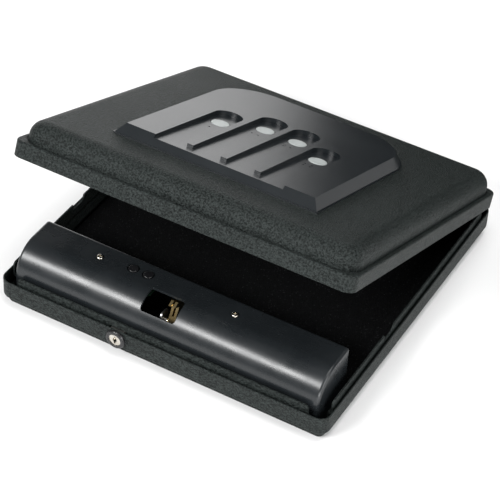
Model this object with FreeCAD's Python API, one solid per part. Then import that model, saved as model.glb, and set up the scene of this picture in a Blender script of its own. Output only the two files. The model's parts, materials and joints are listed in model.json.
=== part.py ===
"""Clamshell handgun safe for a desk or a car: a pressed steel base and lid on a rear piano hinge.

Units are millimetres. The frame's origin is the centre of the underside, +X is to the right of
somebody facing the lock, +Y points to the hinge and +Z is up. The base and everything in it is
modelled in place. The lid is modelled shut and swung open by REST_OPEN degrees when it is written.
"""
import FreeCAD, Part
import math
import os
from FreeCAD import Vector

os.makedirs("parts", exist_ok=True)

# ---- driving dimensions -------------------------------------------------------------------
WIDTH = 279.4            # outer width of both bands (11 in)
DEPTH = 279.4            # outer depth of both bands
SHEET = 1.2              # 18 gauge steel
CORNER_R = 9.0           # plan radius of the bands' corners
REST_OPEN = 22.0         # how far the lid stands open in the rest pose, degrees

TRAY_H = 7.0             # height of the inset foot of the base
TRAY_IN = 4.0            # how far the foot is set in from the band
BAND_TOP = 23.0          # top of the base's outer band
LIP_TOP = 28.8           # top of the upturned inner lips
LIP_IN = 5.3             # lips' outer faces, in from the band's outer face
LIP_RELIEF = 10.4        # lips stop this far short of the corners
LIP_JOG = 2.6           # front and side lips step out by this much, close behind the shell's band
LIP_JOG_Z = 16.0        # height of that step
NUT_ROOM_R = 10.6       # cut in the stepped lip round the lock's nut
PAN_BEND_R = 1.7         # outer radius of the folds at their foot
PARTING = 0.5            # gap between the two bands when shut

LID_BAND_H = 12.5        # height of the lid's band
LEDGE_IN = 4.0           # width of the ledge between band and dome
DOME_H = 16.0            # dome above the ledge
DOME_R = 12.5            # large edge radius of the dome
DOME_CORNER_R = 15.0     # plan radius of the dome's corners
GROOVE_W = 1.2           # pressed groove at the foot of the dome
GROOVE_D = 0.7

PAD_H = 8.5              # keypad housing above the lid
PAD_FRONT, PAD_REAR = -95.5, 95.0
PAD_HALF = 84.5
PAD_REAR_R = 45.0
PAD_BEVEL = 6.5
PAD_FLANGE = 0.9         # ledge left at the foot of the bevel
PAD_WALL = 1.8
FINGER_PITCH = 28.0
FINGER_R = 11.5          # half the width of a finger channel
FINGER_ARC_Y = (5.0, 27.5, 27.5, 5.0)
KEY_BACK = 12.0          # keys sit this far in front of the channel's arc centre
KEY_R = 7.4
FLOOR_DEPTH_FRONT = 2.4  # channel floor below the plateau at the front edge
FLOOR_SLOPE = 0.0145
KEY_GAP = 0.4            # round a key, in the channel floor
DOT_R = 0.8

COVER_HALF = 129.5       # half the width of the electronics cover
COVER_FRONT, COVER_REAR = -132.7, -87.5
COVER_TOP = 49.0
COVER_R = 24.0           # front top radius of the barrel
COVER_REAR_R = 2.5
COVER_END_R = 2.5        # rounding of the barrel's two ends
COVER_WALL = 2.0
COVER_SCREWS = ((-73.0, -102.5), (43.0, -102.5))
SEAT_DROP = 0.9          # the screws' seats lie this far below the cover's top
SETUP_BUTTONS = (("mute_button", -45.5), ("learn_button", -32.6))
SETUP_Y = -99.5
SETUP_R = 3.9
SETUP_RECESS = 1.0       # width of the recess round a setup button
WINDOW = (-23.0, 6.5, -127.3, -109.3)   # x0, x1, y0, y1 of the latch window
WINDOW_SILL = 34.0
DOOR = (60.0, 121.0)     # battery door's left and right edges
DOOR_LOW = 14.0
DOOR_TOP_Y = -92.5

LOCK_X, LOCK_Z = -35.0, 15.0
BEZEL_R, LOCK_R, PLUG_R = 8.0, 6.6, 5.0
LATCH_X = -2.5           # centre plane of the latch
PIVOT_Y, PIVOT_Z = -113.0, 26.0
BAR_Y, BAR_Z = -120.0, 38.0      # striker's cross bar, lid shut
BAR_R = 1.75
HOOK_SWING = 30.0        # hook turns this far from open to engaged
HOOK_HALF = 2.8          # half the width of the forked hook
HOOK_SLOT = 0.8          # half the width of its slot

CHEEK_OUT = 8.7          # outer faces of the latch bracket's cheeks, from its middle
CHEEK_T = 1.2
CHEEK_TOP = 34.0
PLUNGER_Y, PLUNGER_Z, PLUNGER_L = -112.0, 14.5, 24.0
SOLENOID_SPAN = (12.5, 37.0)     # solenoid's ends, to the right of the latch
CAM_Y, CAM_REACH = -122.0, 24.0

BOARD_T = 1.6
BOARD = (-68.2, -25.5, -109.0, -90.5)          # x0, x1, y0, y1 of the control board
BATTERY = (62.5, 111.0, -107.5, -90.0, 17.6, 44.1)  # a 9 V block lying on its side
LID_FOAM_T = 8.8

HINGE_HALF = 115.0
KNUCKLES = 11
KNUCKLE_R = 2.4
PIN_R = 1.2
LEAF_T = 1.0
RIVETS = (-94.0, -47.0, 0.0, 47.0, 94.0)

# ---- worked out from them -------------------------------------------------------------------
HALF_W, HALF_D = WIDTH / 2, DEPTH / 2
LID_BOTTOM = BAND_TOP + PARTING
LEDGE_Z = LID_BOTTOM + LID_BAND_H
DOME_TOP = LEDGE_Z + DOME_H
LID_CEILING = DOME_TOP - SHEET
PAD_TOP = DOME_TOP + PAD_H
KEY_BOARD_Z = DOME_TOP - 3.8
SCREW_SEAT = COVER_TOP - SEAT_DROP
POST_TOP = COVER_TOP - SEAT_DROP - 2.0
BOARD_Z = COVER_TOP - 10.9
LOCK_FACE = -HALF_D - 2.4
PAN_FLOOR = 2 * SHEET
PAN_X, PAN_Y = HALF_W - LIP_IN, HALF_D - LIP_IN
HINGE_Y = HALF_D + KNUCKLE_R
HINGE_Z = BAND_TOP + PARTING / 2
X, Y, Z = Vector(1, 0, 0), Vector(0, 1, 0), Vector(0, 0, 1)


# ---- helpers ------------------------------------------------------------------------------
def box(x0, x1, y0, y1, z0, z1):
    return Part.makeBox(x1 - x0, y1 - y0, z1 - z0, Vector(x0, y0, z0))


def rod(radius, start, direction, length):
    return Part.makeCylinder(radius, length, Vector(*start), direction)


def fuse(first, *others):
    return first.fuse(list(others)).removeSplitter() if others else first


def upright_edges(shape):
    return [e for e in shape.Edges if e.BoundBox.XLength < 1e-6 and e.BoundBox.YLength < 1e-6]


def level_edges(shape, z):
    return [e for e in shape.Edges
            if abs(e.BoundBox.ZMin - z) < 1e-6 and abs(e.BoundBox.ZMax - z) < 1e-6]


def slab(half_x, half_y, radius, z0, z1):
    """A plate centred on the origin with rounded corners in plan."""
    plate = box(-half_x, half_x, -half_y, half_y, z0, z1)
    return plate.makeFillet(radius, upright_edges(plate))


def rounded(shape, z, radius):
    return shape.makeFillet(radius, level_edges(shape, z))


def prism_x(points, x0, x1):
    """A polygon of (y, z) points pushed along X."""
    corners = [Vector(x0, y, z) for y, z in points]
    face = Part.Face(Part.makePolygon(corners + corners[:1]))
    return face.extrude(X * (x1 - x0))


def group(shapes):
    """Identical fasteners kept as separate solids in one sub-part."""
    return Part.makeCompound(list(shapes))


def write(name, shape):
    if not shape.isValid():
        print("NOT VALID", name)
    print(name, len(shape.Solids), round(shape.Volume / 1000, 2))
    shape.exportStep("parts/%s.step" % name)


def write_lid(name, shape):
    """Lid pieces are drawn shut and swung open about the hinge."""
    swung = shape.copy()
    swung.rotate(Vector(0, HINGE_Y, HINGE_Z), X, -REST_OPEN)
    write(name, swung)


# ---- base: pressed shell and folded inner pan --------------------------------------------------
def base_shell():
    band = rounded(slab(HALF_W, HALF_D, CORNER_R, TRAY_H, BAND_TOP), TRAY_H, 2.0)
    foot_r = CORNER_R - TRAY_IN
    foot = rounded(slab(HALF_W - TRAY_IN, HALF_D - TRAY_IN, foot_r, 0, TRAY_H + 2.0), 0, 2.5)
    room = slab(HALF_W - SHEET, HALF_D - SHEET, CORNER_R - SHEET, TRAY_H + SHEET, BAND_TOP + 1)
    sump = slab(HALF_W - TRAY_IN - SHEET, HALF_D - TRAY_IN - SHEET, foot_r - SHEET, SHEET, TRAY_H + 3)
    sump = rounded(sump, SHEET, 1.4)
    shell = fuse(band, foot).cut(fuse(room, sump))
    shell = shell.makeFillet(0.5, level_edges(shell, BAND_TOP))
    holes = [rod(LOCK_R + 0.1, (LOCK_X, -HALF_D - 1, LOCK_Z), Y, 6)]
    holes += [rod(1.6, (x, HALF_D - 4, HINGE_Z - 9), Y, 8) for x in RIVETS]
    return shell.cut(holes)


def lip_blank(half_length, reach, jog):
    """One upturned wall, drawn along X with its outer face at -reach, its top ends rounded.

    Above LIP_JOG_Z the wall stands further out by jog."""
    wall = box(-half_length, half_length, -reach - jog, -reach - jog + SHEET, SHEET, LIP_TOP)
    ends = [e for e in wall.Edges
            if e.BoundBox.XLength < 1e-6 and e.BoundBox.ZLength < 1e-6 and e.BoundBox.ZMin > LIP_TOP - 0.1]
    wall = wall.makeFillet(3.0, ends)
    if not jog:
        return wall
    upper = wall.common(box(-half_length, half_length, -HALF_D, 0, LIP_JOG_Z, LIP_TOP + 1))
    step = box(-half_length, half_length, -reach - jog, -reach + SHEET, LIP_JOG_Z, LIP_JOG_Z + SHEET)
    lower = box(-half_length, half_length, -reach, -reach + SHEET, SHEET, LIP_JOG_Z + SHEET)
    return fuse(upper, step, lower)


def lip_notch():
    """The step cut in both side lips: square at the front, swept up behind."""
    low = LIP_TOP - 4.3
    cut = box(-HALF_W, HALF_W, -44.0, -34.0, low, LIP_TOP + 1)
    sweep = rod(6.0, (-HALF_W, -34.0, LIP_TOP + 1.7), X, WIDTH)
    return cut.fuse(sweep)


def inner_pan():
    floor = box(-PAN_X, PAN_X, -PAN_Y, PAN_Y, SHEET, PAN_FLOOR)
    corners = [box(sx * PAN_X - 10, sx * PAN_X + 10, sy * PAN_Y - 10, sy * PAN_Y + 10, 0, 40)
               for sx in (-1, 1) for sy in (-1, 1)]
    front = lip_blank(PAN_X - LIP_RELIEF, PAN_Y, LIP_JOG)
    rear = lip_blank(PAN_X - LIP_RELIEF, PAN_Y, 0)
    rear.rotate(Vector(0, 0, 0), Z, 180)
    sides = []
    for turn in (90, -90):
        side = lip_blank(PAN_Y - LIP_RELIEF, PAN_X, LIP_JOG)
        side.rotate(Vector(0, 0, 0), Z, turn)
        sides.append(side)
    pan = fuse(floor.cut(corners), front, rear, *sides).cut(lip_notch())
    bends = [e for e in level_edges(pan, SHEET) if e.Length > 200]
    pan = pan.makeFillet(PAN_BEND_R, bends)
    nut_room = rod(NUT_ROOM_R, (LOCK_X, -HALF_D, LOCK_Z), Y, HALF_D - PAN_Y)
    nut_room = nut_room.common(box(-HALF_W, HALF_W, -HALF_D, 0, 0, BAND_TOP))
    return pan.cut([nut_room, rod(LOCK_R + 0.1, (LOCK_X, -HALF_D, LOCK_Z), Y, HALF_D - PAN_Y + 4)])


def base_foam():
    pad = slab(PAN_X - SHEET - 1.0, 107.5, 4.0, PAN_FLOOR, 10.4)
    pad.translate(Vector(0, 24.4, 0))
    return rounded(pad, 10.4, 2.0)


# ---- electronics cover ----------------------------------------------------------------------
def barrel(inset):
    """The cover's section pushed along X; inset shrinks it by the wall thickness."""
    front, rear, top = COVER_FRONT + inset, COVER_REAR - inset, COVER_TOP - inset
    block = box(-COVER_HALF + inset, COVER_HALF - inset, front, rear, PAN_FLOOR, top)
    along = [e for e in block.Edges if e.BoundBox.YLength < 1e-6 and e.BoundBox.ZLength < 1e-6]
    nose = [e for e in along if e.BoundBox.ZMin > top - 0.1 and e.BoundBox.YMin < front + 0.1]
    tail = [e for e in along if e.BoundBox.ZMin > top - 0.1 and e.BoundBox.YMin > rear - 0.1]
    return block.makeFillet(COVER_R - inset, nose).makeFillet(max(COVER_REAR_R - inset, 0.5), tail)


def softened_ends(shape):
    """Round the barrel's outline at both end walls."""
    ends = [e for e in shape.Edges if e.BoundBox.XLength < 1e-6 and e.BoundBox.ZMax > PAN_FLOOR + 1
            and abs(abs(e.BoundBox.XMin) - COVER_HALF) < 1e-6]
    return shape.makeFillet(COVER_END_R, ends)


def door_blank(gap):
    x0, x1 = DOOR[0] + gap, DOOR[1] - gap
    panel = box(x0, x1, COVER_REAR - COVER_WALL, COVER_REAR + 1, DOOR_LOW + gap, COVER_TOP + 1)
    return panel.fuse(box(x0, x1, DOOR_TOP_Y + gap, COVER_REAR + 1, COVER_TOP - COVER_WALL, COVER_TOP + 1))


def electronics_cover():
    skin = softened_ends(barrel(0)).cut(barrel(COVER_WALL).fuse(
        box(-COVER_HALF + 2, COVER_HALF - 2, COVER_FRONT + 2, COVER_REAR - 2, 0, PAN_FLOOR + 1)))
    board_top = BOARD_Z + BOARD_T
    adds = [rod(6.2, (x, y, POST_TOP), Z, SCREW_SEAT - POST_TOP) for x, y in COVER_SCREWS]
    adds += [rod(2.6, (x, y, board_top), Z, COVER_TOP - board_top - 1.0) for x, y in board_posts()]
    cuts = [door_blank(0)]
    for x, y in COVER_SCREWS:
        cuts += [rod(3.2, (x, y, SCREW_SEAT), Z, 6), rod(1.7, (x, y, POST_TOP - 1), Z, 6)]
    for x, y in board_posts():
        cuts.append(rod(1.0, (x, y, board_top - 1), Z, 6))
    for _, x in SETUP_BUTTONS:
        cuts += [rod(SETUP_R + 0.1, (x, SETUP_Y, COVER_TOP - 4), Z, 8),
                 rod(SETUP_R + SETUP_RECESS, (x, SETUP_Y, COVER_TOP - 1.2), Z, 2)]
    x0, x1, y0, y1 = WINDOW
    window = box(x0, x1, y0, y1, WINDOW_SILL, COVER_TOP + 1)
    cuts.append(window.makeFillet(2.0, upright_edges(window)))
    cuts.append(rod(LOCK_R + 0.6, (LOCK_X, COVER_FRONT - 2, LOCK_Z), Y, 6))
    return fuse(skin, *adds).cut(cuts)


def battery_door():
    body = barrel(0).cut(barrel(COVER_WALL))
    return body.common(door_blank(0.25))


def cover_screw(x, y):
    head = rounded(rod(2.7, (x, y, SCREW_SEAT), Z, 2.1), SCREW_SEAT + 2.1, 1.2)
    z0, z1 = SCREW_SEAT + 1.2, SCREW_SEAT + 3
    cross = box(x - 1.4, x + 1.4, y - 0.3, y + 0.3, z0, z1).fuse(
        box(x - 0.3, x + 0.3, y - 1.4, y + 1.4, z0, z1))
    return fuse(head, rod(1.5, (x, y, SCREW_SEAT - 12.0), Z, 12.0)).cut(cross)


def cover_post(x, y):
    post = rod(4.0, (x, y, PAN_FLOOR + 1.0), Z, POST_TOP - PAN_FLOOR - 1.0)
    foot = rod(7.0, (x, y, PAN_FLOOR), Z, 1.0)
    return fuse(post, foot).cut(rod(1.5, (x, y, POST_TOP - 11.0), Z, 12))


# ---- control board and its two setup buttons --------------------------------------------------------
def board_posts():
    return ((-60.0, -105.5), (-28.0, -92.6))


def control_board():
    x0, x1, y0, y1 = BOARD
    plate = box(x0, x1, y0, y1, BOARD_Z, BOARD_Z + BOARD_T)
    return plate.cut([rod(1.2, (x, y, BOARD_Z - 1), Z, 4) for x, y in board_posts()])


def setup_switch(x):
    top = BOARD_Z + BOARD_T
    body = box(x - 3, x + 3, SETUP_Y - 3, SETUP_Y + 3, top, top + 3.4)
    return fuse(body, rod(1.6, (x, SETUP_Y, top + 3.4), Z, 0.5))


def setup_button(x):
    """Cap in the cover's hole, a flange that keeps it in, and a stem over its switch."""
    foot = COVER_TOP - 4.0
    cap = rounded(rod(SETUP_R, (x, SETUP_Y, foot), Z, 4.3), foot + 4.3, 0.6)
    flange = rod(SETUP_R + 1.3, (x, SETUP_Y, foot), Z, 1.2)
    stem = rod(1.3, (x, SETUP_Y, foot - 0.5), Z, 1.0)
    return fuse(cap, flange, stem)


def beeper():
    x, y = BOARD[0] + 6.5, BOARD[3] - 6.0
    can = rod(5.2, (x, y, BOARD_Z + BOARD_T), Z, 6.4)
    return can.cut(rod(1.0, (x, y, BOARD_Z + BOARD_T + 4.4), Z, 5))


def board_chips():
    top = BOARD_Z + BOARD_T
    x, y = BOARD[0], BOARD[2]
    return group([box(x + 15.0, x + 18.4, y + 6.0, y + 15.0, top, top + 1.6),
                  box(x + 29.5, x + 33.0, y + 1.0, y + 4.2, top, top + 1.2),
                  box(x + 37.0, x + 41.5, y + 1.0, y + 4.0, top, top + 4.5)])


def board_screw(x, y):
    return fuse(rod(2.2, (x, y, BOARD_Z - 1.4), Z, 1.4), rod(1.0, (x, y, BOARD_Z), Z, 6.0))


# ---- battery --------------------------------------------------------------------------------
def battery():
    case = box(*BATTERY)
    return case.makeFillet(1.8, [e for e in case.Edges if e.BoundBox.XLength > 40])


def battery_snap():
    """Moulded snap cap on the terminal end, with its two press studs."""
    x = BATTERY[1]
    _, _, y0, y1, z0, z1 = BATTERY
    cap = box(x + 2.6, x + 6.0, y0 + 0.5, y1 - 0.5, z0 + 0.5, z1 - 0.5)
    middle = (z0 + z1) / 2
    studs = [rod(3.0, (x, (y0 + y1) / 2, middle + dz), X, 2.6) for dz in (-6.35, 6.35)]
    return fuse(cap, *studs)


def battery_cradle():
    x0, x1 = BATTERY[0] - 1.5, BATTERY[1] + 1.0
    _, _, y0, y1, z0, _ = BATTERY
    shelf = box(x0, x1, y0 - 1.5, y1, z0 - 1.6, z0)
    stop = box(x0, x1, y0 - 1.5, y0, z0 - 1.6, z0 + 8.4)
    legs = [box(x, x + 1.5, y0 - 1.5, y1, PAN_FLOOR, z0 - 1.6) for x in (x0, x1 - 1.5)]
    return fuse(shelf, stop, *legs)


# ---- latch: bracket, hook, pivot, spring, solenoid -----------------------------------------------------
def latch_bracket():
    plate = box(LATCH_X - CHEEK_OUT, LATCH_X + CHEEK_OUT, -130.0, -106.0, PAN_FLOOR, PAN_FLOOR + SHEET)
    cheeks = []
    for x in (LATCH_X - CHEEK_OUT, LATCH_X + CHEEK_OUT - CHEEK_T):
        cheek = box(x, x + CHEEK_T, -118.0, -107.0, PAN_FLOOR, CHEEK_TOP)
        tops = [e for e in cheek.Edges if e.BoundBox.XLength > 1 and e.BoundBox.ZMin > CHEEK_TOP - 0.1]
        cheeks.append(cheek.makeFillet(4.0, tops))
    bracket = fuse(plate, *cheeks)
    return bracket.cut([rod(2.0, (LATCH_X - 12, PIVOT_Y, PIVOT_Z), X, 24),
                        rod(2.9, (LATCH_X + 4, PLUNGER_Y, PLUNGER_Z), X, 8)])


def hook_pivot():
    pin = rod(2.0, (LATCH_X - CHEEK_OUT, PIVOT_Y, PIVOT_Z), X, 2 * CHEEK_OUT)
    heads = [rod(3.0, (LATCH_X + s * CHEEK_OUT - (1.0 if s < 0 else 0), PIVOT_Y, PIVOT_Z), X, 1.0)
             for s in (-1, 1)]
    return fuse(pin, *heads)


def latch_hook():
    """Drawn engaged over the striker's bar, then turned back to its open, rest position."""
    outline = [(-4.4, -9.0), (2.5, -9.0), (5.2, -2.0), (5.2, 13.0), (1.0, 18.5),
               (-8.6, 18.5), (-11.5, 14.4), (-4.4, 14.4)]
    x0, x1 = LATCH_X - HOOK_HALF, LATCH_X + HOOK_HALF
    plate = prism_x([(PIVOT_Y + y, PIVOT_Z + z) for y, z in outline], x0, x1)
    slot = box(LATCH_X - HOOK_SLOT, LATCH_X + HOOK_SLOT, PIVOT_Y - 20, PIVOT_Y + 10,
               PIVOT_Z + 6, PIVOT_Z + 20)
    hub = rod(4.0, (x0 - 0.8, PIVOT_Y, PIVOT_Z), X, 2 * HOOK_HALF + 0.8)
    hook = fuse(plate, hub).cut([slot, rod(2.05, (LATCH_X - 5, PIVOT_Y, PIVOT_Z), X, 12)])
    hook.rotate(Vector(LATCH_X, PIVOT_Y, PIVOT_Z), X, -HOOK_SWING)
    return hook


def hook_spring():
    """Leaf spring on the bracket's plate, bearing on the back of the hook's tail."""
    seat = PAN_FLOOR + SHEET
    strip = [(-107.0, seat), (-112.0, seat), (-115.0, seat + 12.0), (-114.5, seat + 12.1),
             (-111.6, seat + 0.45), (-107.0, seat + 0.45)]
    return prism_x(strip, LATCH_X - 2.0, LATCH_X + 1.5)


def solenoid_frame():
    x0, x1 = LATCH_X + SOLENOID_SPAN[0], LATCH_X + SOLENOID_SPAN[1]
    y0, y1 = PLUNGER_Y - 9.0, PLUNGER_Y + 9.0
    frame = box(x0, x1, y0, y1, PAN_FLOOR, 25.0)
    room = box(x0 + 1.5, x1 - 1.5, y0 - 1, y1 + 1, PAN_FLOOR + 1.5, 23.5)
    return frame.cut(room).cut(rod(2.8, (x0 - 1, PLUNGER_Y, PLUNGER_Z), X, 4))


def solenoid_coil():
    x0, x1 = LATCH_X + SOLENOID_SPAN[0] + 1.5, LATCH_X + SOLENOID_SPAN[1] - 1.5
    coil = rod(8.0, (x0, PLUNGER_Y, PLUNGER_Z), X, x1 - x0)
    return coil.cut(rod(2.6, (x0 - 1, PLUNGER_Y, PLUNGER_Z), X, x1 - x0 - 0.5))


def solenoid_plunger():
    """Nose next to the hook at rest; it draws back into the coil when energised."""
    nose = rod(2.5, (LATCH_X + HOOK_HALF + 0.6, PLUNGER_Y, PLUNGER_Z), X, PLUNGER_L)
    return nose.makeChamfer(0.6, [nose.Edges[0], nose.Edges[2]])


# ---- key lock -----------------------------------------------------------------------------------
def lock_housing():
    bezel = rod(BEZEL_R, (LOCK_X, LOCK_FACE, LOCK_Z), Y, -HALF_D - LOCK_FACE)
    bezel = bezel.makeFillet(1.4, [e for e in bezel.Edges
                                   if e.BoundBox.YMax < LOCK_FACE + 0.1 and e.BoundBox.YLength < 1e-6])
    barrel_body = rod(LOCK_R, (LOCK_X, -HALF_D, LOCK_Z), Y, 15.5)
    body = fuse(bezel, barrel_body).cut(rod(PLUG_R + 0.05, (LOCK_X, LOCK_FACE - 1, LOCK_Z), Y, 22))
    return body


def lock_nut():
    reach = LOCK_R + 3.4
    corners = [Vector(LOCK_X + reach * math.cos(math.radians(60 * k)), -HALF_D + SHEET,
                      LOCK_Z + reach * math.sin(math.radians(60 * k))) for k in range(7)]
    hexagon = Part.Face(Part.makePolygon(corners)).extrude(Y * 2.6)
    hexagon = hexagon.common(box(LOCK_X - 20, LOCK_X + 20, -HALF_D, -PAN_Y, TRAY_H + SHEET, BAND_TOP - 0.5))
    return hexagon.cut(rod(LOCK_R, (LOCK_X, -HALF_D - 2, LOCK_Z), Y, 10))


def lock_plug():
    face = LOCK_FACE + 0.5
    plug = rod(PLUG_R, (LOCK_X, face, LOCK_Z), Y, CAM_Y - face)
    slot = box(LOCK_X - 0.7, LOCK_X + 0.7, face - 1, face + 12, LOCK_Z - 3.2, LOCK_Z + 3.2)
    hollow = rod(1.7, (LOCK_X, face - 1, LOCK_Z), Y, 3)
    return plug.cut([slot, hollow])


def lock_cam():
    plate = box(LOCK_X - 4.5, LOCK_X + 4.5, CAM_Y, CAM_Y + 1.6, LOCK_Z, LOCK_Z + CAM_REACH)
    tips = [e for e in plate.Edges if e.BoundBox.YLength > 1 and e.BoundBox.ZMin > LOCK_Z + 1]
    plate = plate.makeFillet(4.0, tips)
    return fuse(plate, rod(6.0, (LOCK_X, CAM_Y, LOCK_Z), Y, 1.6))


def cam_screw():
    head = rod(3.2, (LOCK_X, CAM_Y + 1.6, LOCK_Z), Y, 1.8)
    return head.cut(box(LOCK_X - 4, LOCK_X + 4, CAM_Y + 2.6, CAM_Y + 5, LOCK_Z - 0.4, LOCK_Z + 0.4))


# ---- piano hinge ---------------------------------------------------------------------------------
def knuckle_spans(first):
    """Every other knuckle's x range, with a little end play."""
    pitch = 2 * HINGE_HALF / KNUCKLES
    return [(-HINGE_HALF + k * pitch + 0.15, -HINGE_HALF + (k + 1) * pitch - 0.15)
            for k in range(first, KNUCKLES, 2)]


def hinge_leaf(own, other, bore, z0, z1):
    """A leaf flat on the band, z0..z1, with its own knuckles round the axis."""
    leaf = box(-HINGE_HALF, HINGE_HALF, HALF_D, HALF_D + LEAF_T, z0, z1)
    gaps = [box(a - 0.3, b + 0.3, HALF_D - 1, HINGE_Y + 4, HINGE_Z - 2.9, HINGE_Z + 2.9) for a, b in other]
    leaf = leaf.cut(gaps)
    curls = [rod(KNUCKLE_R, (a, HINGE_Y, HINGE_Z), X, b - a) for a, b in own]
    leaf = fuse(leaf, *curls)
    return leaf.cut(rod(bore, (-HINGE_HALF - 1, HINGE_Y, HINGE_Z), X, 2 * HINGE_HALF + 2))


def base_leaf():
    leaf = hinge_leaf(knuckle_spans(0), knuckle_spans(1), PIN_R, HINGE_Z - 14, HINGE_Z)
    return leaf.cut([rod(1.6, (x, HALF_D - 1, HINGE_Z - 9), Y, 4) for x in RIVETS])


def lid_leaf():
    leaf = hinge_leaf(knuckle_spans(1), knuckle_spans(0), PIN_R + 0.05, HINGE_Z, HINGE_Z + 11.5)
    return leaf.cut([rod(1.6, (x, HALF_D - 1, HINGE_Z + 7), Y, 4) for x in RIVETS])


def rivet(x, z):
    """Domed head on the leaf, shank through leaf and band, flat tail inside."""
    outer = HALF_D + LEAF_T
    head = Part.makeSphere(3.8, Vector(x, outer - 2.4, z)).common(rod(4, (x, outer, z), Y, 3))
    shank = rod(1.6, (x, HALF_D - SHEET, z), Y, SHEET + LEAF_T)
    tail = rod(2.6, (x, HALF_D - SHEET - 0.9, z), Y, 0.9)
    return fuse(head, shank, tail)


def hinge_pin():
    return rod(PIN_R, (-HINGE_HALF, HINGE_Y, HINGE_Z), X, 2 * HINGE_HALF)


# ---- lid ------------------------------------------------------------------------------------------
def lid_shell():
    band = rounded(slab(HALF_W, HALF_D, CORNER_R, LID_BOTTOM, LEDGE_Z), LEDGE_Z, 1.5)
    dx, dy = HALF_W - LEDGE_IN, HALF_D - LEDGE_IN
    dome = rounded(slab(dx, dy, DOME_CORNER_R, LEDGE_Z - 1, DOME_TOP), DOME_TOP, DOME_R)
    room = slab(HALF_W - SHEET, HALF_D - SHEET, CORNER_R - SHEET, LID_BOTTOM - 1, LEDGE_Z - SHEET)
    bead = slab(dx + 2.4, dy + 2.4, DOME_CORNER_R + 2.4, LEDGE_Z - SHEET - GROOVE_D, LEDGE_Z)
    crown = slab(dx - SHEET, dy - SHEET, DOME_CORNER_R - SHEET, LEDGE_Z - SHEET - 2, LID_CEILING)
    crown = rounded(crown, LID_CEILING, DOME_R - SHEET)
    groove = slab(dx + GROOVE_W, dy + GROOVE_W, DOME_CORNER_R + GROOVE_W, LEDGE_Z - GROOVE_D, LEDGE_Z + 0.01)
    shell = band.cut(groove).fuse(dome).cut(room.cut(bead).fuse(crown)).removeSplitter()
    holes = [rod(1.6, (x, HALF_D - 4, HINGE_Z + 7), Y, 8) for x in RIVETS]
    holes.append(key_opening())
    holes += [rod(1.7, (x, y, LID_CEILING - 1), Z, 4) for x, y in housing_posts()]
    return shell.cut(holes)


def key_opening():
    hole = slab(64.0, 44.0, 5.0, LID_CEILING - 1, DOME_TOP + 1)
    hole.translate(Vector(0, 6.0, 0))
    return hole


def lid_foam():
    pad = slab(120.5, 97.0, 10.0, LID_CEILING - LID_FOAM_T, LID_CEILING)
    pad.translate(Vector(0, 22.0, 0))
    pocket_z = KEY_BOARD_Z - 1.8
    pocket = slab(67.0, 47.0, 4.0, pocket_z, DOME_TOP)
    pocket.translate(Vector(0, 6.0, 0))
    heads = [rod(5.0, (x, y, pocket_z), Z, 10) for x, y in housing_posts()]
    return pad.cut([pocket] + heads)


# ---- keypad -----------------------------------------------------------------------------------
def pad_outline(inset, z):
    """Square front corners, straight sides and two large rear arcs."""
    half, front, rear = PAD_HALF - inset, PAD_FRONT + inset, PAD_REAR - inset
    r = PAD_REAR_R - inset
    h = r * (1 - math.sqrt(0.5))
    p = [Vector(-half, front, z), Vector(half, front, z), Vector(half, rear - r, z),
         Vector(half - r, rear, z), Vector(-half + r, rear, z), Vector(-half, rear - r, z)]
    edges = [Part.LineSegment(p[0], p[1]), Part.LineSegment(p[1], p[2]),
             Part.Arc(p[2], Vector(half - h, rear - h, z), p[3]), Part.LineSegment(p[3], p[4]),
             Part.Arc(p[4], Vector(-half + h, rear - h, z), p[5]), Part.LineSegment(p[5], p[0])]
    return Part.Wire([e.toShape() for e in edges])


def floor_z(y):
    """Height of the sloping finger floor."""
    return PAD_TOP - FLOOR_DEPTH_FRONT - (y - PAD_FRONT) * FLOOR_SLOPE


def under_floor(z_shift):
    """Everything above the sloping floor, moved down by z_shift."""
    y0, y1 = PAD_FRONT - 10, PAD_REAR + 10
    low = [(y0, floor_z(y0) - z_shift), (y1, floor_z(y1) - z_shift)]
    return prism_x(low + [(y1, PAD_TOP + 5), (y0, PAD_TOP + 5)], -PAD_HALF, PAD_HALF)


def finger_xs():
    return [(k - 1.5) * FINGER_PITCH for k in range(4)]


def key_centres():
    return [(x, y - KEY_BACK) for x, y in zip(finger_xs(), FINGER_ARC_Y)]


def housing_posts():
    return ((-60.0, -60.0), (60.0, -60.0), (-52.0, 66.0), (52.0, 66.0))


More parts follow.
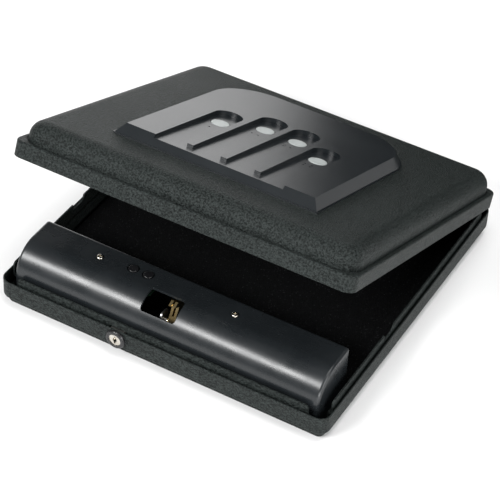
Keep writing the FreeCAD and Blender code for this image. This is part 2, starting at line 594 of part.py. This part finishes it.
def keypad_housing():
    skirt = Part.Face(pad_outline(0, DOME_TOP)).extrude(Z * 1.2)
    rings = [pad_outline(PAD_FLANGE, DOME_TOP + 1.2), pad_outline(PAD_BEVEL, PAD_TOP)]
    wedge = Part.makeLoft(rings, True, True)
    blank = fuse(skirt, wedge)
    plan = [box(finger_xs()[0] - FINGER_R, finger_xs()[3] + FINGER_R, PAD_FRONT - 5, -82.0, 50, 70)]
    for x, y in zip(finger_xs(), FINGER_ARC_Y):
        plan += [box(x - FINGER_R, x + FINGER_R, PAD_FRONT - 5, y, 50, 70), rod(FINGER_R, (x, y, 50), Z, 20)]
    fingers = fuse(*plan).common(under_floor(0))
    inside = Part.Face(pad_outline(PAD_BEVEL + 1.5, DOME_TOP - 1)).extrude(Z * 12).cut(under_floor(PAD_WALL))
    posts = [rod(4.0, (x, y, DOME_TOP), Z, 5.0) for x, y in housing_posts()]
    posts += [rod(2.8, (x, y, KEY_BOARD_Z + BOARD_T), Z, 7.0) for x, y in key_board_posts()]
    housing = fuse(blank.cut(inside).cut(fingers), *posts)
    holes = [rod(KEY_R + KEY_GAP, (x, y, 50), Z, 20) for x, y in key_centres()]
    holes += [rod(1.2, (x, y, DOME_TOP - 1), Z, 4) for x, y in housing_posts()]
    holes += [rod(0.9, (x, y, KEY_BOARD_Z), Z, 5.6) for x, y in key_board_posts()]
    holes += [rod(DOT_R, (x, y, floor_z(y) - 0.8), Z, 5) for x, y in tally_dots()]
    return housing.cut(holes)


def tally_dots():
    """One to four moulded dots in front of the keys."""
    dots = []
    layouts = (((0, 0),), ((-2.6, 0), (2.6, 0)), ((-2.6, -1.6), (-2.6, 1.6), (2.6, 0)),
               ((-2.8, -1.8), (-2.8, 1.8), (2.8, -1.8), (2.8, 1.8)))
    for (x, y), layout in zip(key_centres(), layouts):
        dots += [(x + dx - 1.0, y - 16.0 + dy) for dx, dy in layout]
    return dots


def key(x, y):
    """Round key: cap through the housing floor and a flange under it."""
    ceiling = floor_z(y) - PAD_WALL
    cap = rod(KEY_R, (x, y, ceiling - 1.2), Z, PAD_WALL + 1.6)
    cap = rounded(cap, ceiling + PAD_WALL + 0.4, 0.7)
    return fuse(cap, rod(8.8, (x, y, ceiling - 1.2), Z, 0.85))


def key_board_posts():
    return ((-58.0, -30.0), (58.0, -30.0), (-58.0, 42.0), (58.0, 42.0))


def keypad_board():
    plate = box(-62.0, 62.0, -35.0, 47.0, KEY_BOARD_Z, KEY_BOARD_Z + BOARD_T)
    return plate.cut([rod(1.1, (x, y, KEY_BOARD_Z - 1), Z, 4) for x, y in key_board_posts()])


def key_switch(x, y):
    top = KEY_BOARD_Z + BOARD_T
    return fuse(box(x - 3, x + 3, y - 3, y + 3, top, top + 2.4), rod(1.7, (x, y, top + 2.4), Z, 0.5))


def key_board_screw(x, y):
    return fuse(rod(2.0, (x, y, KEY_BOARD_Z - 1.3), Z, 1.3), rod(0.9, (x, y, KEY_BOARD_Z), Z, 5.0))


def housing_screw(x, y):
    return fuse(rod(3.2, (x, y, LID_CEILING - 1.8), Z, 1.8), rod(1.2, (x, y, LID_CEILING), Z, 4.0))


# ---- striker on the lid -----------------------------------------------------------------------------
def striker():
    plate = box(LATCH_X - 13, LATCH_X + 13, BAR_Y - 1.6, -104.0, LID_CEILING - SHEET, LID_CEILING)
    reach = LID_CEILING - 0.6 - BAR_Z
    legs = [rod(BAR_R, (LATCH_X + s * 5.5, BAR_Y, BAR_Z), Z, reach) for s in (-1, 1)]
    corners = [Part.makeSphere(BAR_R, Vector(LATCH_X + s * 5.5, BAR_Y, BAR_Z)) for s in (-1, 1)]
    bar = rod(BAR_R, (LATCH_X - 5.5, BAR_Y, BAR_Z), X, 11)
    return fuse(plate, bar, *(legs + corners))


# ---- write every sub-part ---------------------------------------------------------------------------
write("base_shell", base_shell())
write("inner_pan", inner_pan())
write("base_foam", base_foam())
write("electronics_cover", electronics_cover())
write("battery_door", battery_door())
write("cover_screws", group(cover_screw(x, y) for x, y in COVER_SCREWS))
write("cover_posts", group(cover_post(x, y) for x, y in COVER_SCREWS))
write("control_board", control_board())
write("setup_switches", group(setup_switch(x) for _, x in SETUP_BUTTONS))
for button, x_place in SETUP_BUTTONS:
    write(button, setup_button(x_place))
write("beeper", beeper())
write("board_chips", board_chips())
write("board_screws", group(board_screw(x, y) for x, y in board_posts()))
write("battery", battery())
write("battery_snap", battery_snap())
write("battery_cradle", battery_cradle())
write("latch_bracket", latch_bracket())
write("hook_pivot", hook_pivot())
write("latch_hook", latch_hook())
write("hook_spring", hook_spring())
write("solenoid_frame", solenoid_frame())
write("solenoid_coil", solenoid_coil())
write("solenoid_plunger", solenoid_plunger())
write("lock_housing", lock_housing())
write("lock_nut", lock_nut())
write("lock_plug", lock_plug())
write("lock_cam", lock_cam())
write("cam_screw", cam_screw())
write("hinge_leaf_base", base_leaf())
write("hinge_pin", hinge_pin())
write("hinge_rivets_base", group(rivet(x, HINGE_Z - 9) for x in RIVETS))
write_lid("hinge_leaf_lid", lid_leaf())
write_lid("hinge_rivets_lid", group(rivet(x, HINGE_Z + 7) for x in RIVETS))
write_lid("lid_shell", lid_shell())
write_lid("lid_foam", lid_foam())
write_lid("keypad_housing", keypad_housing())
for number, (key_x, key_y) in enumerate(key_centres(), 1):
    write_lid("key_%d" % number, key(key_x, key_y))
write_lid("keypad_board", keypad_board())
write_lid("key_switches", group(key_switch(x, y) for x, y in key_centres()))
write_lid("key_board_screws", group(key_board_screw(x, y) for x, y in key_board_posts()))
write_lid("housing_screws", group(housing_screw(x, y) for x, y in housing_posts()))
write_lid("striker", striker())
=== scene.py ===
"""Looks for the gun safe: materials, floor foam, floor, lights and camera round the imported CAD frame."""
import json
import math

import bmesh
import bpy
from mathutils import Matrix, Vector, noise


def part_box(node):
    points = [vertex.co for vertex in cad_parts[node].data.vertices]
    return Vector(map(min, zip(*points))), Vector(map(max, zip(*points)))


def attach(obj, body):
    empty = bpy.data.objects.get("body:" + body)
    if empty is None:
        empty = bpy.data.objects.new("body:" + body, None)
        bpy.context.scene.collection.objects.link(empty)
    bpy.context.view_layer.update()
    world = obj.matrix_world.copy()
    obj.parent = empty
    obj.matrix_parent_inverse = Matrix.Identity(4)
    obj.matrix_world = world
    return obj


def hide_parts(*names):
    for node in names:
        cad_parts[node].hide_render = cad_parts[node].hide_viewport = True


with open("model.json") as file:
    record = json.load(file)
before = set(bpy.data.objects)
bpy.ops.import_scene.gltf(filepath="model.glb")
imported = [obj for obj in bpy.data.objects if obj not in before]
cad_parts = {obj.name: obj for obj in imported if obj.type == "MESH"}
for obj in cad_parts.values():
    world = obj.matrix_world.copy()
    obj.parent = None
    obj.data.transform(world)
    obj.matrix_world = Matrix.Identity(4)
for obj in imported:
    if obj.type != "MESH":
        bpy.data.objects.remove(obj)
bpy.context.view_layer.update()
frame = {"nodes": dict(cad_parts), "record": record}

# ---- camera, in the shared frame: angles in degrees, lengths in metres ---------------------------
AZIMUTH, ELEVATION, ROLL = 27.65, 41.38, 3.38
DISTANCE = 1.582
TARGET = Vector((0.0042, -0.0111, 0.0250))
LENS, SENSOR = 148.6, 36.0

MM = 0.001
COPPER_EDGE = (0.0950, 0.0952)                     # x where the battery's copper band begins

# ---- floor foam ---------------------------------------------------------------------------------
FOAM_CLEAR = Vector((0.3 * MM, 0.3 * MM, 0.0))     # kept free at the pad's sides
FOAM_CORNER = 4 * MM
FOAM_STEP = 1.6 * MM                               # mesh spacing
FOAM_CRUMBLE = 0.5 * MM                            # depth of the crumbled face
FOAM_SOFT_EDGE = 2.2 * MM
FOAM_DENT = 0.3 * MM                               # depth of the dents in the cut sides
CRUMB_SCALE_COARSE, CRUMB_SCALE_FINE, DENT_SCALE = 160, 620, 420      # noise cells per metre

# ---- studio, in metres ----------------------------------------------------------------------------
FLOOR_HALF = 6.0                                   # half the floor's width
FLOOR_DROP = 0.0002                                # the floor lies this far under the base
WORLD_STRENGTH = 0.15
CARD_X0, CARD_X1 = -0.20, 0.22                     # the black card's left and right edges
CARD_Y0, CARD_Y1 = 0.20, 0.62                      # its near and far edges
CARD_FOOT, CARD_TOP = 0.001, 0.8                   # its lowest and highest edges


# ---- node helpers --------------------------------------------------------------------------------
class Mat:
    """A material under construction: a Principled shader and short calls that add nodes to it."""

    def __init__(self, name, rough, metallic=0.0, **sockets):
        self.material = bpy.data.materials.new(name)
        self.material.use_nodes = True
        self.tree = self.material.node_tree
        self.shader = self.tree.nodes["Principled BSDF"]
        sockets.update(Roughness=rough, Metallic=metallic)
        for key, value in sockets.items():
            self.shader.inputs[key.replace("_", " ")].default_value = value
        coords = self.tree.nodes.new("ShaderNodeTexCoord")
        self.place = coords.outputs["Object"]

    def node(self, kind, settings=(), **inputs):
        """A new node; inputs are given by socket name, or as i0, i1 and so on by number."""
        made = self.tree.nodes.new(kind)
        for key, value in settings:
            setattr(made, key, value)
        for key, value in inputs.items():
            socket = made.inputs[int(key[1:])] if key[0] == "i" and key[1:].isdigit() else made.inputs[key]
            if isinstance(value, bpy.types.NodeSocket):
                self.tree.links.new(value, socket)
            else:
                socket.default_value = value
        return made

    def stretched(self, scale):
        return self.node("ShaderNodeMapping", Vector=self.place, Scale=scale).outputs["Vector"]

    def noise(self, grain, detail=3.0, rough=0.5, place=None):
        """Noise whose lumps are about grain metres across; 0 to 1."""
        return self.node("ShaderNodeTexNoise", Vector=place or self.place, Scale=1 / grain, Detail=detail,
                         Roughness=rough).outputs["Fac"]

    def cells(self, grain, kind):
        """Distance inside cells about grain metres across."""
        return self.node("ShaderNodeTexVoronoi", [("feature", kind)], Vector=self.place,
                         Scale=1 / grain).outputs["Distance"]

    def math(self, op, a, b=0.0, clamp=False):
        return self.node("ShaderNodeMath", [("operation", op), ("use_clamp", clamp)], i0=a, i1=b).outputs[0]

    def ramp(self, value, low, high, out_low=0.0, out_high=1.0):
        return self.node("ShaderNodeMapRange", i0=value, i1=low, i2=high,
                         i3=out_low, i4=out_high).outputs[0]

    def blend(self, factor, first, second):
        """From first, a colour or a socket, to the colour second."""
        if not isinstance(first, bpy.types.NodeSocket):
            first = (*first, 1)
        return self.node("ShaderNodeMix", [("data_type", "RGBA")],
                         i0=factor, i6=first, i7=(*second, 1)).outputs[2]

    def colour(self, socket):
        self.tree.links.new(socket, self.shader.inputs["Base Color"])

    def rough(self, socket):
        self.tree.links.new(socket, self.shader.inputs["Roughness"])

    def bump(self, *layers):
        """Layers of (height socket, depth in metres) added up as one bump."""
        total = None
        for height, depth in layers:
            part = self.math("MULTIPLY", height, depth)
            total = part if total is None else self.math("ADD", total, part)
        bump = self.node("ShaderNodeBump", Strength=1.0, Distance=1.0, Height=total)
        self.tree.links.new(bump.outputs["Normal"], self.shader.inputs["Normal"])


def powder_coat():
    """Fine textured charcoal powder coat: soft pebbles about a millimetre wide, painted darker in their
    hollows as painted shade and lighter on their tops as painted light, slightly uneven in tone.
    """
    m = Mat("powder_coat", 0.5, 0.0, Specular_IOR_Level=0.12)
    pebble_and_painted_shade = m.noise(1.35 * MM, 2.0, 0.6)
    fine = m.noise(0.7 * MM, 1.0, 0.5)
    drift = m.noise(60 * MM, 3.0)
    # painted shade and light: the pebble pattern darkens the hollows and lightens the pebble tops
    tone = m.blend(m.ramp(pebble_and_painted_shade, 0.38, 0.62), (0.0030, 0.0044, 0.0041), (0.0250, 0.0305, 0.0292))
    dust = m.math("MULTIPLY", m.ramp(drift, 0.35, 0.75), 0.12)
    m.colour(m.blend(dust, tone, (0.034, 0.040, 0.039)))
    m.rough(m.math("ADD", m.ramp(fine, 0.3, 0.7, 0.42, 0.54), m.ramp(drift, 0.3, 0.7, -0.03, 0.03)))
    m.bump((pebble_and_painted_shade, 0.0010), (fine, 0.00015))
    return m.material


def gloss_plastic():
    """Glossy black moulding with a faint orange peel, smears and hairline rub marks."""
    m = Mat("gloss_plastic", 0.2, 0.0, Specular_IOR_Level=0.5)
    wave = m.noise(9 * MM, 2.0, 0.4)
    grain = m.noise(0.5 * MM, 2.0)
    rub = m.noise(1.2 * MM, 4.0, 0.7, m.stretched((0.04, 1.0, 1.0)))
    smear = m.noise(26 * MM, 3.0, 0.6)
    m.colour(m.blend(m.ramp(smear, 0.3, 0.75), (0.0100, 0.0122, 0.0138), (0.0140, 0.0165, 0.0185)))
    m.rough(m.math("ADD", m.ramp(smear, 0.3, 0.7, 0.24, 0.31), m.ramp(rub, 0.55, 0.8, 0.0, 0.07)))
    m.bump((wave, 0.00006), (grain, 0.000004))
    return m.material


def satin_plastic():
    """Satin dark grey moulding with a fine spark-eroded grain."""
    m = Mat("satin_plastic", 0.4, 0.0, Specular_IOR_Level=0.5)
    grain = m.noise(0.35 * MM, 2.0, 0.6)
    smear = m.noise(34 * MM, 3.0, 0.55)
    rub = m.noise(1.6 * MM, 4.0, 0.7, m.stretched((1.0, 0.05, 1.0)))
    m.colour(m.blend(m.ramp(smear, 0.3, 0.7), (0.0085, 0.0108, 0.0126), (0.0120, 0.0148, 0.0168)))
    m.rough(m.math("ADD", m.ramp(smear, 0.3, 0.7, 0.275, 0.295), m.ramp(rub, 0.5, 0.8, 0.0, 0.03)))
    m.bump((grain, 0.000022))
    return m.material


def plain_moulding(name, dark, light, rough):
    """A small moulded piece: slight clouding in tone and gloss over a fine grain."""
    m = Mat(name, rough, 0.0, Specular_IOR_Level=0.5)
    cloud = m.noise(4 * MM, 3.0, 0.6)
    m.colour(m.blend(m.ramp(cloud, 0.3, 0.7), dark, light))
    m.rough(m.ramp(cloud, 0.3, 0.7, rough - 0.05, rough + 0.05))
    m.bump((m.noise(0.4 * MM, 2.0), 0.00001))
    return m.material


def worked_metal(name, dark, light, rough, stretch=(1.0, 1.0, 1.0)):
    """Bare or plated metal: drawn or turned marks, uneven gloss and slight tarnish."""
    m = Mat(name, rough, 1.0)
    marks = m.noise(0.5 * MM, 3.0, 0.65, m.stretched(stretch))
    tarnish = m.noise(5 * MM, 3.0, 0.6)
    m.colour(m.blend(m.ramp(tarnish, 0.3, 0.75), light, dark))
    m.rough(m.math("ADD", m.ramp(marks, 0.3, 0.7, rough - 0.05, rough + 0.05),
                   m.ramp(tarnish, 0.4, 0.8, 0.0, 0.08)))
    m.bump((marks, 0.000006))
    return m.material


def foam_material():
    """Black open-cell foam with scattered paler crumbs; each pore is painted darker at its pit as painted
    shade.
    """
    m = Mat("reground_foam", 0.95, 0.0, Specular_IOR_Level=0.05)
    pore_and_painted_shade = m.cells(1.1 * MM, "F1")
    crumb = m.cells(2.6 * MM, "F1")
    cloud = m.noise(18 * MM, 3.0)
    # painted shade: each pore darker towards its pit, where the bump sinks
    base = m.blend(m.ramp(pore_and_painted_shade, 0.1, 0.6), (0.0010, 0.0011, 0.0012), (0.0045, 0.0047, 0.0050))
    speck = m.math("MULTIPLY", m.ramp(crumb, 0.20, 0.12), m.ramp(cloud, 0.35, 0.65, 0.25, 0.8), clamp=True)
    m.colour(m.blend(speck, base, (0.036, 0.038, 0.039)))
    m.bump((pore_and_painted_shade, 0.0006), (m.noise(0.6 * MM, 3.0), 0.0003))
    return m.material


def board_material():
    """Very dark green solder mask with a web of tracks and tinned pads."""
    m = Mat("board", 0.35, 0.0, Specular_IOR_Level=0.5)
    tracks = m.cells(3.2 * MM, "DISTANCE_TO_EDGE")
    pads = m.cells(4.4 * MM, "F1")
    mask = m.blend(m.ramp(tracks, 0.05, 0.09), (0.003, 0.018, 0.008), (0.002, 0.010, 0.005))
    m.colour(m.blend(m.ramp(pads, 0.16, 0.12), mask, (0.55, 0.54, 0.50)))
    m.rough(m.ramp(pads, 0.12, 0.16, 0.25, 0.42))
    m.bump((m.ramp(tracks, 0.05, 0.09), -0.00003))
    return m.material


def jacket_material():
    """Plain battery jacket: dark body with a copper coloured band at one end."""
    m = Mat("battery_jacket_look", 0.3, 0.6)
    along = m.node("ShaderNodeSeparateXYZ", Vector=m.place).outputs["X"]
    cloud = m.noise(6 * MM, 3.0)
    m.colour(m.blend(m.ramp(along, *COPPER_EDGE), (0.020, 0.021, 0.023), (0.52, 0.25, 0.09)))
    m.rough(m.ramp(cloud, 0.3, 0.7, 0.25, 0.36))
    m.bump((m.noise(0.8 * MM, 2.0), 0.00001))
    return m.material


def key_material():
    """Light grey key caps, faintly clouded."""
    m = Mat("key_cap", 0.42, 0.0, Specular_IOR_Level=0.5)
    cloud = m.noise(5 * MM, 3.0, 0.6)
    m.colour(m.blend(m.ramp(cloud, 0.3, 0.7), (0.33, 0.355, 0.350), (0.39, 0.415, 0.408)))
    m.rough(m.ramp(cloud, 0.3, 0.7, 0.38, 0.47))
    m.bump((m.noise(0.4 * MM, 2.0), 0.000012))
    return m.material


LOOKS = {
    "powder_steel": powder_coat(),
    "gloss_cover": gloss_plastic(),
    "satin_pad": satin_plastic(),
    "key_grey": key_material(),
    "black_button": plain_moulding("setup_cap", (0.006, 0.006, 0.007), (0.012, 0.012, 0.013), 0.24),
    "nickel": worked_metal("nickel_plate", (0.42, 0.38, 0.32), (0.72, 0.69, 0.63), 0.22),
    "zinc_steel": worked_metal("zinc_plate", (0.36, 0.36, 0.34), (0.62, 0.62, 0.60), 0.30,
                               (1.0, 0.2, 1.0)),
    "black_lock": plain_moulding("black_finish", (0.006, 0.006, 0.007), (0.014, 0.014, 0.015), 0.28),
    "brass": worked_metal("brass_plate", (0.50, 0.34, 0.13), (0.86, 0.68, 0.36), 0.20),
    "rivet_steel": worked_metal("blackened_steel", (0.020, 0.020, 0.020), (0.060, 0.060, 0.062), 0.36),
    "circuit_board": board_material(),
    "component_black": plain_moulding("component", (0.008, 0.008, 0.009), (0.020, 0.020, 0.021), 0.48),
    "battery_jacket": jacket_material(),
    "foam": foam_material(),
}


def dress():
    """Gives every CAD node the look of its material slot."""
    for part in frame["record"]["subparts"]:
        if part["material_slot"] in LOOKS:
            node = frame["nodes"][part["node"]]
            node.data.materials.clear()
            node.data.materials.append(LOOKS[part["material_slot"]])


# ---- foam pad ------------------------------------------------------------------------------------
def pad_mesh(name, low, high, corner, step, crumble):
    """A foam slab from low to high: rounded corners, soft edges, a crumbled cut face, one closed skin."""
    bm = bmesh.new()
    nx = int((high.x - low.x) / step)
    ny = int((high.y - low.y) / step)

    def inside(x, y):
        """Distance from the outline with rounded corners, positive inside."""
        dx = min(x - low.x, high.x - x)
        dy = min(y - low.y, high.y - y)
        if dx < corner and dy < corner:
            return corner - math.hypot(corner - dx, corner - dy)
        return min(dx, dy)

    def height(x, y):
        """Top of the pad: a soft edge and small crumbs, never above high.z."""
        soft = FOAM_SOFT_EDGE
        d = max(inside(x, y), 0.0)
        drop = soft - math.sqrt(max(soft * soft - (soft - min(d, soft)) ** 2, 0.0))
        coarse = noise.noise(Vector((x, y, 0.3)) * CRUMB_SCALE_COARSE)
        fine = noise.noise(Vector((x, y, 1.7)) * CRUMB_SCALE_FINE)
        return high.z - drop - crumble * (0.5 + 0.5 * (coarse * 0.5 + fine * 0.5))

    def snapped(i, j):
        """Grid point (i, j), pulled in to the rounded corner outline."""
        x = low.x + (high.x - low.x) * i / nx
        y = low.y + (high.y - low.y) * j / ny
        cx = min(max(x, low.x + corner), high.x - corner)
        cy = min(max(y, low.y + corner), high.y - corner)
        off = Vector((x - cx, y - cy))
        if off.x and off.y:
            reach = max(abs(off.x), abs(off.y))
            off = off.normalized() * reach
            x, y = cx + off.x, cy + off.y
        return x, y

    top = [[bm.verts.new((*snapped(i, j), height(*snapped(i, j)))) for j in range(ny + 1)]
           for i in range(nx + 1)]
    for i in range(nx):
        for j in range(ny):
            bm.faces.new((top[i][j], top[i + 1][j], top[i + 1][j + 1], top[i][j + 1]))
    rim = [top[i][0] for i in range(nx)] + [top[nx][j] for j in range(ny)]
    rim += [top[i][ny] for i in range(nx, 0, -1)] + [top[0][j] for j in range(ny, 0, -1)]
    rings = [rim]
    wall = max(2, int((high.z - low.z) / step))
    centre = Vector(((low.x + high.x) / 2, (low.y + high.y) / 2))
    for k in range(1, wall + 1):
        ring = []
        for v in rim:
            z = v.co.z + (low.z - v.co.z) * k / wall
            dent = FOAM_DENT * (0.5 + 0.5 * noise.noise(Vector((v.co.x, v.co.y, z)) * DENT_SCALE))
            away = Vector((v.co.x, v.co.y)) - centre
            pull = away.normalized() * (dent if k < wall else 0.0)
            ring.append(bm.verts.new((v.co.x - pull.x, v.co.y - pull.y, z)))
        rings.append(ring)
    count = len(rim)
    for upper, lower in zip(rings, rings[1:]):
        for a in range(count):
            b = (a + 1) % count
            bm.faces.new((upper[b], upper[a], lower[a], lower[b]))
    bm.faces.new(list(reversed(rings[-1])))
    bmesh.ops.recalc_face_normals(bm, faces=bm.faces)
    mesh = bpy.data.meshes.new(name)
    bm.to_mesh(mesh)
    bm.free()
    for face in mesh.polygons:
        face.use_smooth = True
    made = bpy.data.objects.new(name, mesh)
    bpy.context.scene.collection.objects.link(made)
    made.data.materials.append(LOOKS["foam"])
    return made


def floor_foam():
    """The modelled pad that replaces the base's plain CAD foam."""
    low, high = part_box("base_foam")
    pad = pad_mesh("floor_foam", Vector(low) + FOAM_CLEAR, Vector(high) - FOAM_CLEAR,
                   FOAM_CORNER, FOAM_STEP, FOAM_CRUMBLE)
    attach(pad, "base")
    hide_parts("base_foam")


# ---- floor, light and camera ------------------------------------------------------------------------
def studio():
    """Pale floor, the black card and a white surround."""
    bm = bmesh.new()
    bmesh.ops.create_grid(bm, x_segments=8, y_segments=8, size=FLOOR_HALF)
    mesh = bpy.data.meshes.new("floor")
    bm.to_mesh(mesh)
    bm.free()
    ground = bpy.data.objects.new("floor", mesh)
    ground.location.z = -FLOOR_DROP
    bpy.context.scene.collection.objects.link(ground)
    m = Mat("pale_floor", 0.65, 0.0, Specular_IOR_Level=0.2)
    m.colour(m.blend(m.ramp(m.noise(0.4, 2.0), 0.3, 0.7), (0.86, 0.86, 0.86), (0.90, 0.90, 0.90)))
    ground.data.materials.append(m.material)
    dark_card()
    world = bpy.data.worlds.new("studio")
    bpy.context.scene.world = world
    world.use_nodes = True
    world.node_tree.nodes["Background"].inputs["Color"].default_value = (1.0, 1.0, 1.0, 1)
    world.node_tree.nodes["Background"].inputs["Strength"].default_value = WORLD_STRENGTH


def dark_card():
    """An L-shaped black card behind the safe, seen in reflections only: the keypad's dark right side."""
    mesh = bpy.data.meshes.new("dark_card")
    points = [(CARD_X0, CARD_Y0, CARD_FOOT), (CARD_X1, CARD_Y0, CARD_FOOT), (CARD_X1, CARD_Y1, CARD_FOOT),
              (CARD_X0, CARD_Y1, CARD_FOOT), (CARD_X1, CARD_Y1, CARD_TOP), (CARD_X0, CARD_Y1, CARD_TOP)]
    mesh.from_pydata(points, [], [(0, 1, 2, 3), (3, 2, 4, 5)])
    card = bpy.data.objects.new("dark_card", mesh)
    bpy.context.scene.collection.objects.link(card)
    card.visible_camera = card.visible_diffuse = card.visible_shadow = False
    m = Mat("card", 0.9, 0.0, Specular_IOR_Level=0.1)
    m.colour(m.blend(m.noise(0.1, 2.0), (0.004, 0.004, 0.004), (0.006, 0.006, 0.006)))
    card.data.materials.append(m.material)
    return card


def softbox(name, place, aim, width, height, power):
    """A rectangular soft light at place, facing aim; metres and watts."""
    light = bpy.data.lights.new(name, "AREA")
    light.shape = "RECTANGLE"
    light.size, light.size_y = width, height
    light.energy = power
    lamp = bpy.data.objects.new(name, light)
    bpy.context.scene.collection.objects.link(lamp)
    lamp.location = place
    lamp.rotation_mode = "QUATERNION"
    lamp.rotation_quaternion = (Vector(aim) - Vector(place)).to_track_quat("-Z", "Y")


def camera():
    """The camera, DISTANCE from TARGET along AZIMUTH and ELEVATION, rolled by ROLL."""
    a, e, r = (math.radians(v) for v in (AZIMUTH, ELEVATION, ROLL))
    back = Vector((math.sin(a) * math.cos(e), -math.cos(a) * math.cos(e), math.sin(e)))
    right = Vector((0, 0, 1)).cross(back).normalized()
    up = back.cross(right)
    right, up = right * math.cos(r) + up * math.sin(r), up * math.cos(r) - right * math.sin(r)
    data = bpy.data.cameras.new("camera")
    data.lens, data.sensor_width = LENS, SENSOR
    data.clip_start, data.clip_end = 0.05, 50.0
    cam = bpy.data.objects.new("camera", data)
    bpy.context.scene.collection.objects.link(cam)
    turn = Matrix((right, up, back)).transposed().to_4x4()
    cam.matrix_world = Matrix.Translation(TARGET + back * DISTANCE) @ turn
    bpy.context.scene.camera = cam


dress()
floor_foam()
studio()
# place, aim, width, height, power
softbox("key_light", (-0.56, -1.10, 0.94), (-0.10, -0.15, 0.04), 0.80, 0.36, 22)
softbox("top_light", (0.30, 0.25, 1.60), (0.05, 0.0, 0.03), 1.2, 1.2, 21)
softbox("right_fill", (1.50, -0.45, 0.75), (0.1, 0, 0.03), 1.2, 0.9, 16)
softbox("low_fill", (0.96, -1.38, 0.16), (0.0, -0.1, 0.09), 1.0, 0.3, 13)
softbox("rear_panel", (-0.75, 0.85, 0.25), (-0.04, 0.0, 0.11), 0.90, 0.50, 2.9)
camera()

bpy.context.scene.view_settings.view_transform = "Standard"
